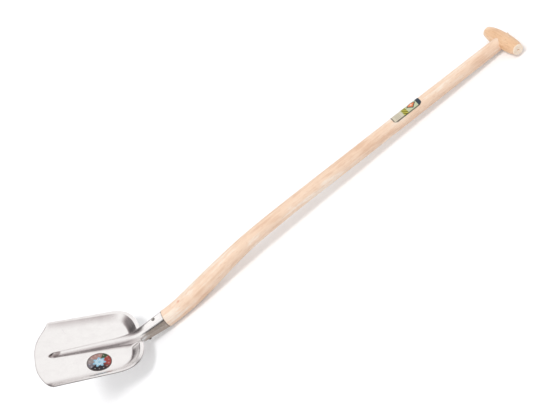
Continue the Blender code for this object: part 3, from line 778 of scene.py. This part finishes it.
def wood_grain_group():
    """Growth streaks, cloudy tone, short ray flecks and fine pores that run along Z."""
    group, given, made = new_group(
        "wood_grain",
        [("Vector", "Vector", None), ("Dark", "Color", (0.7, 0.5, 0.3, 1.0)),
         ("Middle", "Color", (0.8, 0.6, 0.4, 1.0)), ("Light", "Color", (0.9, 0.7, 0.5, 1.0)),
         ("Fleck", "Color", (0.5, 0.3, 0.2, 1.0)), ("Flecks", "Float", 0.4)],
        [("Color", "Color"), ("Gloss Loss", "Float"), ("Height", "Float")],
    )
    vector = given["Vector"]
    streak = noise(group, vector, 150.0, 2.0, 0.5, (1.0, 1.0, 0.05))
    cloud = noise(group, vector, 26.0, 3.0, 0.55, (1.0, 1.0, 0.45))
    pores = noise(group, vector, 1100.0, 3.0, 0.6, (1.0, 1.0, 0.03))
    specks = noise(group, vector, 700.0, 1.0, 0.4, (1.0, 1.0, 0.14))
    tone = math_node(group, "MULTIPLY_ADD", streak, 0.4, product(group, cloud, 0.6))
    colour = mix(group, fade(group, tone, 0.36, 0.50), given["Dark"], given["Middle"])
    colour = mix(group, fade(group, tone, 0.50, 0.62), colour, given["Light"])
    flecks = product(group, fade(group, specks, 0.58, 0.70), given["Flecks"])
    colour = mix(group, flecks, colour, given["Fleck"])
    shade_of_pores = fade(group, pores, 0.30, 0.48, 0.10, 0.0)
    wire(group, made["Color"], mix(group, shade_of_pores, colour, given["Fleck"]))
    wire(group, made["Gloss Loss"], math_node(group, "MULTIPLY_ADD", pores, 0.16, -0.08))
    wire(group, made["Height"], math_node(group, "MULTIPLY_ADD", streak, 0.4, pores))
    return group


def wear_group():
    """Cloudy handling marks with fine scratches and pits, at a scale of its own."""
    group, given, made = new_group(
        "handling_wear",
        [("Vector", "Vector", None), ("Scale", "Float", 60.0)],
        [("Smudge", "Float"), ("Scratch", "Float"), ("Pits", "Float")],
    )
    vector, scale = given["Vector"], given["Scale"]
    wire(group, made["Smudge"], noise(group, vector, scale, 4.0, 0.6))
    scratch = 0.0
    for angle, times in ((12.0, 9.0), (-27.0, 12.0), (71.0, 10.0)):
        turned = group.nodes.new("ShaderNodeVectorRotate")
        turned.rotation_type = "Z_AXIS"
        turned.inputs["Angle"].default_value = math.radians(angle)
        group.links.new(vector, turned.inputs["Vector"])
        finer = product(group, scale, times)
        lines = noise(group, turned.outputs["Vector"], finer, 2.0, 0.6, (0.04, 1.0, 1.0))
        scratch = math_node(group, "MAXIMUM", fade(group, lines, 0.66, 0.74), scratch)
    wire(group, made["Scratch"], scratch)
    wire(group, made["Pits"], noise(group, vector, product(group, scale, 16.0), 3.0, 0.65))
    return group


def object_position(tree):
    return tree.nodes.new("ShaderNodeTexCoord").outputs["Object"]


def position_in(tree, origin, turn):
    """Position in a frame with that origin, turned by Euler angles."""
    mapping = tree.nodes.new("ShaderNodeMapping")
    mapping.vector_type = "TEXTURE"
    mapping.inputs["Location"].default_value = origin
    mapping.inputs["Rotation"].default_value = turn
    tree.links.new(object_position(tree), mapping.inputs["Vector"])
    return mapping.outputs["Vector"]


def along_shaft(tree):
    """Place in the straightened shaft, so that the grain follows the bend."""
    node = tree.nodes.new("ShaderNodeAttribute")
    node.attribute_name = "grain"
    return node.outputs["Vector"]


def along_grip(tree):
    """Place in the grip, with Z along it."""
    return position_in(tree, REST @ GRIP_CENTRE, (math.radians(90.0), 0.0, 0.0))


def ellipsoid_distance(tree, vector, centre, half_sizes):
    """Distance from a centre, 1 on an ellipsoid of those half sizes."""
    mapping = tree.nodes.new("ShaderNodeMapping")
    mapping.vector_type = "TEXTURE"
    mapping.inputs["Location"].default_value = centre
    mapping.inputs["Scale"].default_value = half_sizes
    tree.links.new(vector, mapping.inputs["Vector"])
    length = tree.nodes.new("ShaderNodeVectorMath")
    length.operation = "LENGTH"
    tree.links.new(mapping.outputs["Vector"], length.inputs[0])
    return length.outputs["Value"]


def wood_material(name, place_in, wood, roughness, knot=False, end_grain=None):
    """Clear-coated wood. It may have a knot, or paler end grain past a distance along Z."""
    made, tree, shader = new_material(name)
    dark, middle, light, fleck, flecks = wood
    position = place_in(tree)
    grain = use_group(tree, WOOD_GRAIN, Vector=position, Dark=dark, Middle=middle, Light=light,
                      Fleck=fleck, Flecks=flecks)
    colour = grain["Color"]
    if knot:
        distance = ellipsoid_distance(tree, position, KNOT, KNOT_SIZE)
        swirl = math_node(tree, "MULTIPLY_ADD", noise(tree, position, 260.0), 0.7, distance)
        halo = fade(tree, swirl, 0.75, 1.6, 0.55, 0.0)
        colour = mix(tree, halo, colour, KNOT_HALO)
        heart = fade(tree, swirl, 0.45, 0.85, 0.75, 0.0)
        colour = mix(tree, heart, colour, KNOT_HEART)
    if end_grain:
        along = math_node(tree, "ABSOLUTE", dot(tree, position, (0.0, 0.0, 1.0)))
        face = fade(tree, along, end_grain - 0.0032, end_grain - 0.0004)
        rings = noise(tree, position, 520.0, 2.0, 0.5)
        colour = mix(tree, face, colour, mix(tree, fade(tree, rings, 0.35, 0.65), *END_GRAIN))
    tree.links.new(colour, shader.inputs["Base Color"])
    tree.links.new(math_node(tree, "ADD", grain["Gloss Loss"], roughness), shader.inputs["Roughness"])
    shader.inputs["Coat Weight"].default_value = 0.15
    shader.inputs["Coat Roughness"].default_value = 0.25
    bump(tree, shader, grain["Height"], 0.00010, 0.5)
    return made


def metal_material(name, tones, roughness, scale):
    """Bare metal between a dark and a light tone."""
    made, tree, shader = new_material(name)
    wear = use_group(tree, HANDLING_WEAR, Vector=object_position(tree), Scale=scale)
    tone = mix(tree, fade(tree, wear["Smudge"], 0.35, 0.65), *tones)
    tree.links.new(tone, shader.inputs["Base Color"])
    dullness = math_node(tree, "MULTIPLY_ADD", wear["Pits"], 0.2, roughness - 0.1)
    tree.links.new(dullness, shader.inputs["Roughness"])
    shader.inputs["Metallic"].default_value = 1.0
    bump(tree, shader, wear["Pits"], 0.00008, 0.5)
    return made


def satin_steel():
    """Pressed and lightly brushed sheet: soft clouds, rolled lines, a few fine scratches, and a painted
    shade ring round the rib's nose.
    """
    made, tree, shader = new_material("satin_steel_finish")
    position = position_in(tree, REST.translation, (0.0, REST_TILT, 0.0))
    wear = use_group(tree, HANDLING_WEAR, Vector=position, Scale=34.0)
    cloud = fade(tree, wear["Smudge"], 0.30, 0.70)
    tone = mix(tree, cloud, *SHEET_STEEL)
    scratch = product(tree, wear["Scratch"], 0.18)
    tone = mix(tree, scratch, tone, SCRATCH)
    # Painted shade: a dark ring round the rib's nose in place of the dark that its slopes mirror. pressed
    # is the distance from its middle, roughened by pits, and ring is where the shade is painted.
    from_nose_shade = ellipsoid_distance(tree, position, NOSE_SHADE_MIDDLE, NOSE_SHADE_SIZE)
    pressed = math_node(tree, "MULTIPLY_ADD", wear["Pits"], 0.2, from_nose_shade)
    ring = product(tree, between(tree, pressed, 0.40, 1.10, 0.16), 0.78)
    tone = mix(tree, ring, tone, NOSE_SHADE_TONE)
    tree.links.new(tone, shader.inputs["Base Color"])
    shine = math_node(tree, "MULTIPLY_ADD", cloud, 0.06, 0.21)
    tree.links.new(math_node(tree, "MULTIPLY_ADD", scratch, 0.5, shine), shader.inputs["Roughness"])
    shader.inputs["Metallic"].default_value = 1.0
    rolled = noise(tree, position, 460.0, 2.0, 0.6, (0.05, 1.0, 1.0))
    bump(tree, shader, math_node(tree, "MULTIPLY_ADD", wear["Pits"], 0.5, rolled), 0.00003, 0.35)
    return made


def print_coordinates(tree, centre, along, across, half_length, half_width):
    """Place on a label, from -1 to 1 along it and across it, in the blade's frame."""
    turn = REST.to_3x3()
    offset = tree.nodes.new("ShaderNodeVectorMath")
    offset.operation = "SUBTRACT"
    tree.links.new(object_position(tree), offset.inputs[0])
    offset.inputs[1].default_value = REST @ centre
    return (dot(tree, offset.outputs["Vector"], turn @ along / half_length),
            dot(tree, offset.outputs["Vector"], turn @ across / half_width))


def printed_film(name, paint):
    """Glossy printed label: paint makes its colour, and handling dulls it in places."""
    made, tree, shader = new_material(name)
    wear = use_group(tree, HANDLING_WEAR, Vector=object_position(tree), Scale=240.0)
    colour = paint(tree, wear)
    faded = product(tree, fade(tree, wear["Smudge"], 0.50, 0.75), 0.07)
    tree.links.new(mix(tree, faded, colour, (0.72, 0.66, 0.62)), shader.inputs["Base Color"])
    tree.links.new(math_node(tree, "MULTIPLY_ADD", wear["Smudge"], 0.25, 0.25), shader.inputs["Roughness"])
    shader.inputs["Specular IOR Level"].default_value = 0.2
    bump(tree, shader, wear["Pits"], 0.00004, 0.3)
    return made


# Where each colour sector of the round label starts, as a share of a turn, and its colour
DISC_SECTORS = (
    (0.0, (0.22, 0.21, 0.25)),
    (0.10, (0.025, 0.02, 0.03)),
    (0.34, (0.16, 0.05, 0.04)),
    (0.40, (0.42, 0.07, 0.06)),
    (0.60, (0.05, 0.09, 0.04)),
    (0.68, (0.48, 0.30, 0.27)),
    (0.88, (0.36, 0.31, 0.31)),
)
DISC_TINT = ((0.35, (0.75, 0.70, 0.70)), (0.65, (1.0, 1.0, 1.0)))
ROSETTE_PETALS = 7


def blade_label_material():
    """Round label: a pale-blue rosette over a disc cut into plain colour sectors."""
    centre = Vector((BLADE_LENGTH - BLADE_LABEL_FROM_HEEL, BLADE_LABEL_FROM_EDGE - BLADE_WIDTH / 2, 0.0))

    def paint(tree, wear):
        u, v = print_coordinates(tree, centre, Vector((1.0, 0.0, 0.0)), ACROSS,
                                 BLADE_LABEL_RADIUS, BLADE_LABEL_RADIUS)
        radius = math_node(tree, "SQRT", math_node(tree, "MULTIPLY_ADD", u, u, product(tree, v, v)))
        turn = math_node(tree, "MULTIPLY_ADD", math_node(tree, "ARCTAN2", v, u), 0.5 / math.pi, 0.5)
        turn = math_node(tree, "MULTIPLY_ADD", wear["Smudge"], 0.012, math_node(tree, "ADD", turn, -0.006))
        sectors = ramp(tree, DISC_SECTORS, turn, "CONSTANT")
        tint = ramp(tree, DISC_TINT, wear["Smudge"])
        colour = mix(tree, 1.0, sectors, tint, "MULTIPLY")
        lobes = math_node(tree, "SINE", product(tree, turn, 2 * math.pi * ROSETTE_PETALS))
        petals = math_node(tree, "MULTIPLY_ADD", lobes, 0.09, 0.45)
        inside = fade(tree, math_node(tree, "SUBTRACT", radius, petals), -0.04, 0.04, 1.0, 0.0)
        colour = mix(tree, inside, colour, (0.30, 0.55, 0.72))
        spokes = math_node(tree, "SINE", product(tree, turn, 4 * math.pi * ROSETTE_PETALS))
        stripe = product(tree, fade(tree, spokes, 0.1, 0.7), between(tree, radius, 0.12, 0.34))
        colour = mix(tree, stripe, colour, (0.86, 0.90, 0.92))
        ring = between(tree, radius, 0.74, 0.80, 0.02)
        dots = product(tree, fade(tree, spokes, 0.55, 0.95), ring)
        colour = mix(tree, product(tree, dots, 0.7), colour, (0.80, 0.76, 0.72))
        return mix(tree, fade(tree, radius, 0.90, 0.96), colour, (0.12, 0.10, 0.09))

    return printed_film("blade_label_finish", paint)


# The diamond's outline, body and heart: how far each reaches from its middle, and its colour
DIAMOND = ((1.20, (0.03, 0.05, 0.06)), (0.90, (0.80, 0.25, 0.10)), (0.30, (0.93, 0.72, 0.60)))


def handle_label_material():
    """Wrapped label: a beige panel, slanted stripes, a green field with a diamond and a dark cap."""
    middle = HANDLE_LABEL_START + HANDLE_LABEL_LENGTH / 2
    centre = handle_path([middle])[0]

    def paint(tree, wear):
        s, w = print_coordinates(tree, centre, HEAD_AXIS, ACROSS,
                                 HANDLE_LABEL_LENGTH / 2, handle_radius(middle))
        off_middle = math_node(tree, "ABSOLUTE", w)
        colour = mix(tree, fade(tree, s, -0.32, -0.28), (0.66, 0.60, 0.47), (0.56, 0.60, 0.40))
        lines = math_node(tree, "SINE", product(tree, w, 34.0))
        rules = product(tree, fade(tree, lines, 0.0, 0.6), between(tree, s, -0.80, -0.45))
        colour = mix(tree, product(tree, rules, 0.5), colour, (0.33, 0.29, 0.23))
        slope = math_node(tree, "MULTIPLY_ADD", s, 2.2, w)
        slant = math_node(tree, "SINE", product(tree, slope, 16.0))
        band = between(tree, s, -0.26, 0.04)
        stripes = mix(tree, fade(tree, slant, -0.2, 0.2), (0.16, 0.15, 0.01), (0.55, 0.50, 0.10))
        colour = mix(tree, band, colour, stripes)
        along = math_node(tree, "ABSOLUTE", math_node(tree, "ADD", s, -0.42))
        from_diamond = math_node(tree, "ADD", product(tree, along, 3.6), product(tree, off_middle, 2.0))
        for edge, tone in DIAMOND:
            inside = fade(tree, from_diamond, edge - 0.05, edge + 0.05, 1.0, 0.0)
            colour = mix(tree, inside, colour, tone)
        colour = mix(tree, fade(tree, s, 0.74, 0.78), colour, (0.04, 0.06, 0.08))
        sides = fade(tree, off_middle, 0.66, 0.70)
        border = math_node(tree, "MAXIMUM", sides, fade(tree, s, -0.93, -0.96))
        return mix(tree, product(tree, border, 0.8), colour, (0.07, 0.06, 0.05))

    return printed_film("handle_label_finish", paint)


def dress(node, finish):
    """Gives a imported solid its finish."""
    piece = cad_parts[node]
    piece.data.materials.clear()
    piece.data.materials.append(finish)


WOOD_GRAIN = wood_grain_group()
HANDLING_WEAR = wear_group()


# Studio

# How bright the floor seems by itself close to the shovel, the even fill, and the tent in the metal
FLOOR_GLOW = 0.20
FILL_LEVEL = 0.70
TENT_LEVEL = 1.02

# Dark openings that the metal mirrors: aim round from +X and above the floor, the angles where an
# opening is full and where it has gone, all in degrees, and how dark it is
TENT_OPENINGS = (
    dict(around=118.0, above=56.0, full=8.0, gone=38.0, dark=0.80),
    dict(around=107.0, above=25.0, full=12.0, gone=32.0, dark=0.88),
    dict(around=-35.0, above=-20.0, full=45.0, gone=100.0, dark=0.60),
    dict(around=-66.0, above=28.0, full=8.0, gone=30.0, dark=0.55),
)
# What the metal sees, from the middle of a dark opening to the bare tent
TENT_TONES = [(0.0, (0.0, 0.0, 0.0)), (0.5, (0.53, 0.47, 0.47)), (1.0, (1.0, 0.985, 0.975))]

# The one lamp
KEY_AROUND = -140.0
KEY_ABOVE = 74.0
KEY_DISTANCE = 10.0
KEY_SIZE = 3.6
KEY_POWER = 380.0

# The camera's place, its turn about X, Y and Z in degrees, and its lens, all for the photograph's view
CAMERA_PLACE = (0.1943, -1.2829, 1.0510)
CAMERA_TURN = (43.098, 34.487, -22.671)
FOCAL_PIXELS = 700.0
FRAME_PIXELS = 550.0
SENSOR_WIDTH = 36.0


def make_floor():
    made, tree, shader = new_material("pale_floor")
    shader.inputs["Base Color"].default_value = (0.85, 0.85, 0.86, 1.0)
    shader.inputs["Roughness"].default_value = 0.9
    shader.inputs["Specular IOR Level"].default_value = 0.1
    light_path = tree.nodes.new("ShaderNodeLightPath")
    dim = product(tree, light_path.outputs["Is Glossy Ray"], 0.3)
    seen = math_node(tree, "MAXIMUM", light_path.outputs["Is Camera Ray"], dim)
    seen = math_node(tree, "MAXIMUM", seen, light_path.outputs["Is Transmission Ray"])
    shader.inputs["Emission Color"].default_value = (1.0, 1.0, 1.0, 1.0)
    distance = ellipsoid_distance(tree, object_position(tree), (0.0, 0.0, 0.0), (1.0, 1.0, 1.0))
    glow = fade(tree, distance, 1.0, 5.0, FLOOR_GLOW, 1.0)
    tree.links.new(product(tree, seen, glow), shader.inputs["Emission Strength"])
    body = bmesh.new()
    bmesh.ops.create_grid(body, x_segments=8, y_segments=8, size=6.0)
    floor = place("studio_floor", mesh_of("studio_floor", body), made, Matrix.Identity(4))


def towards(around, above):
    """Unit vector at an angle round from +X and an angle above the floor, in degrees."""
    level = math.cos(math.radians(above))
    turn = math.radians(around)
    return Vector((level * math.cos(turn), level * math.sin(turn), math.sin(math.radians(above))))


def make_world():
    """A white tent to the camera, an even fill to dull surfaces, and a tent with openings to metal."""
    world = bpy.data.worlds.new("white_tent")
    world.use_nodes = True
    tree = world.node_tree
    background = tree.nodes["Background"]
    direction = tree.nodes.new("ShaderNodeTexCoord").outputs["Generated"]
    bright = 1.0
    for opening in TENT_OPENINGS:
        facing = dot(tree, direction, towards(opening["around"], opening["above"]))
        full, gone = (math.cos(math.radians(opening[edge])) for edge in ("full", "gone"))
        bright = product(tree, fade(tree, facing, gone, full, 1.0, 1.0 - opening["dark"]), bright)
    rays = tree.nodes.new("ShaderNodeLightPath").outputs
    white = math_node(tree, "MAXIMUM", rays["Is Camera Ray"], rays["Is Transmission Ray"])
    glossy = rays["Is Glossy Ray"]
    fill = mix(tree, glossy, (FILL_LEVEL, FILL_LEVEL, FILL_LEVEL), ramp(tree, TENT_TONES, bright))
    tree.links.new(mix(tree, white, fill, (1.0, 1.0, 1.0)), background.inputs["Color"])
    level = math_node(tree, "MULTIPLY_ADD", glossy, TENT_LEVEL - 1.0, 1.0)
    tree.links.new(level, background.inputs["Strength"])
    bpy.context.scene.world = world


def make_key():
    """The lamp, aimed at the shovel's middle. Neither the camera nor the metal sees it."""
    lamp = bpy.data.lights.new("key", "AREA")
    lamp.shape = "DISK"
    lamp.size = KEY_SIZE
    lamp.energy = KEY_POWER
    aside = towards(KEY_AROUND, KEY_ABOVE)
    turn = (-aside).to_track_quat("-Z", "Y").to_matrix().to_4x4()
    light = add("key", lamp, Matrix.Translation(aside * KEY_DISTANCE) @ turn)
    light.visible_glossy = False
    light.visible_camera = False


def make_card(name, place_at, size, colour, upright=False):
    """Card that only the metal's reflections show: lying flat, or standing along X and seen from +Y."""
    made, tree, shader = new_material(name)
    shader.inputs["Base Color"].default_value = (0.0, 0.0, 0.0, 1.0)
    shader.inputs["Roughness"].default_value = 1.0
    shader.inputs["Emission Color"].default_value = (*colour, 1.0)
    shader.inputs["Emission Strength"].default_value = 1.0
    place_on = tree.nodes.new("ShaderNodeTexCoord").outputs["Generated"]
    axes = ((1.0, 0.0, 0.0), (0.0, 1.0, 0.0))
    covered = product(tree, *(between(tree, dot(tree, place_on, axis), 0.06, 0.94, 0.06) for axis in axes))
    if upright:
        behind = tree.nodes.new("ShaderNodeNewGeometry").outputs["Backfacing"]
        covered = product(tree, covered, math_node(tree, "SUBTRACT", 1.0, behind))
    tree.links.new(covered, shader.inputs["Alpha"])
    body = bmesh.new()
    bmesh.ops.create_grid(body, x_segments=1, y_segments=1, size=0.5)
    turn = Matrix.Rotation(math.radians(-90.0 if upright else 0.0), 4, "X")
    lie = Matrix.Translation(place_at) @ turn @ Matrix.Diagonal((*size, 1.0, 1.0))
    card = place(name, mesh_of(name, body), made, lie)
    for ray in ("camera", "diffuse", "shadow", "transmission", "volume_scatter"):
        setattr(card, "visible_" + ray, False)


def make_camera():
    turn = Euler([math.radians(angle) for angle in CAMERA_TURN]).to_matrix().to_4x4()
    camera = add("camera", bpy.data.cameras.new("camera"), Matrix.Translation(CAMERA_PLACE) @ turn)
    camera.data.sensor_width = SENSOR_WIDTH
    camera.data.lens = FOCAL_PIXELS / FRAME_PIXELS * SENSOR_WIDTH
    camera.data.clip_start = 0.01
    bpy.context.scene.camera = camera


make_camera()
bpy.context.scene.view_settings.view_transform = "Standard"

pale_beech = wood_material("pale_beech_finish", along_shaft, PALE_BEECH, 0.45, knot=True)
tan_beech = wood_material("tan_beech_finish", along_grip, TAN_BEECH, 0.55, end_grain=GRIP_LENGTH / 2)
sawn_wedge = wood_material("sawn_wedge_finish", object_position, SAWN_BEECH, 0.60)
nail_wire = metal_material("nail_wire_finish", NAIL_WIRE, 0.36, 700.0)
sheared_edge = metal_material("sheared_edge_finish", SHEARED_STEEL, 0.45, 500.0)

make_blade(satin_steel(), sheared_edge)
make_handle(pale_beech)
make_grip(tan_beech)
dress("grip_wedge", sawn_wedge)
dress("socket_nail_top", nail_wire)
dress("socket_nail_under", nail_wire)
dress("blade_label", blade_label_material())
dress("handle_label", handle_label_material())

make_floor()
make_world()
make_key()
make_card("socket_strip", (-0.404, 0.090, 0.075), (0.090, 0.244), (1.05, 1.03, 1.02))
make_card("socket_flag", (-0.415, -0.122, 0.075), (0.105, 0.180), (0.035, 0.030, 0.028))
make_card("socket_mat", (-0.402, -0.044, 0.001), (0.146, 0.080), (0.36, 0.31, 0.275))
make_card("socket_side", (-0.402, -0.072, 0.038), (0.146, 0.074), (0.30, 0.255, 0.22), upright=True)
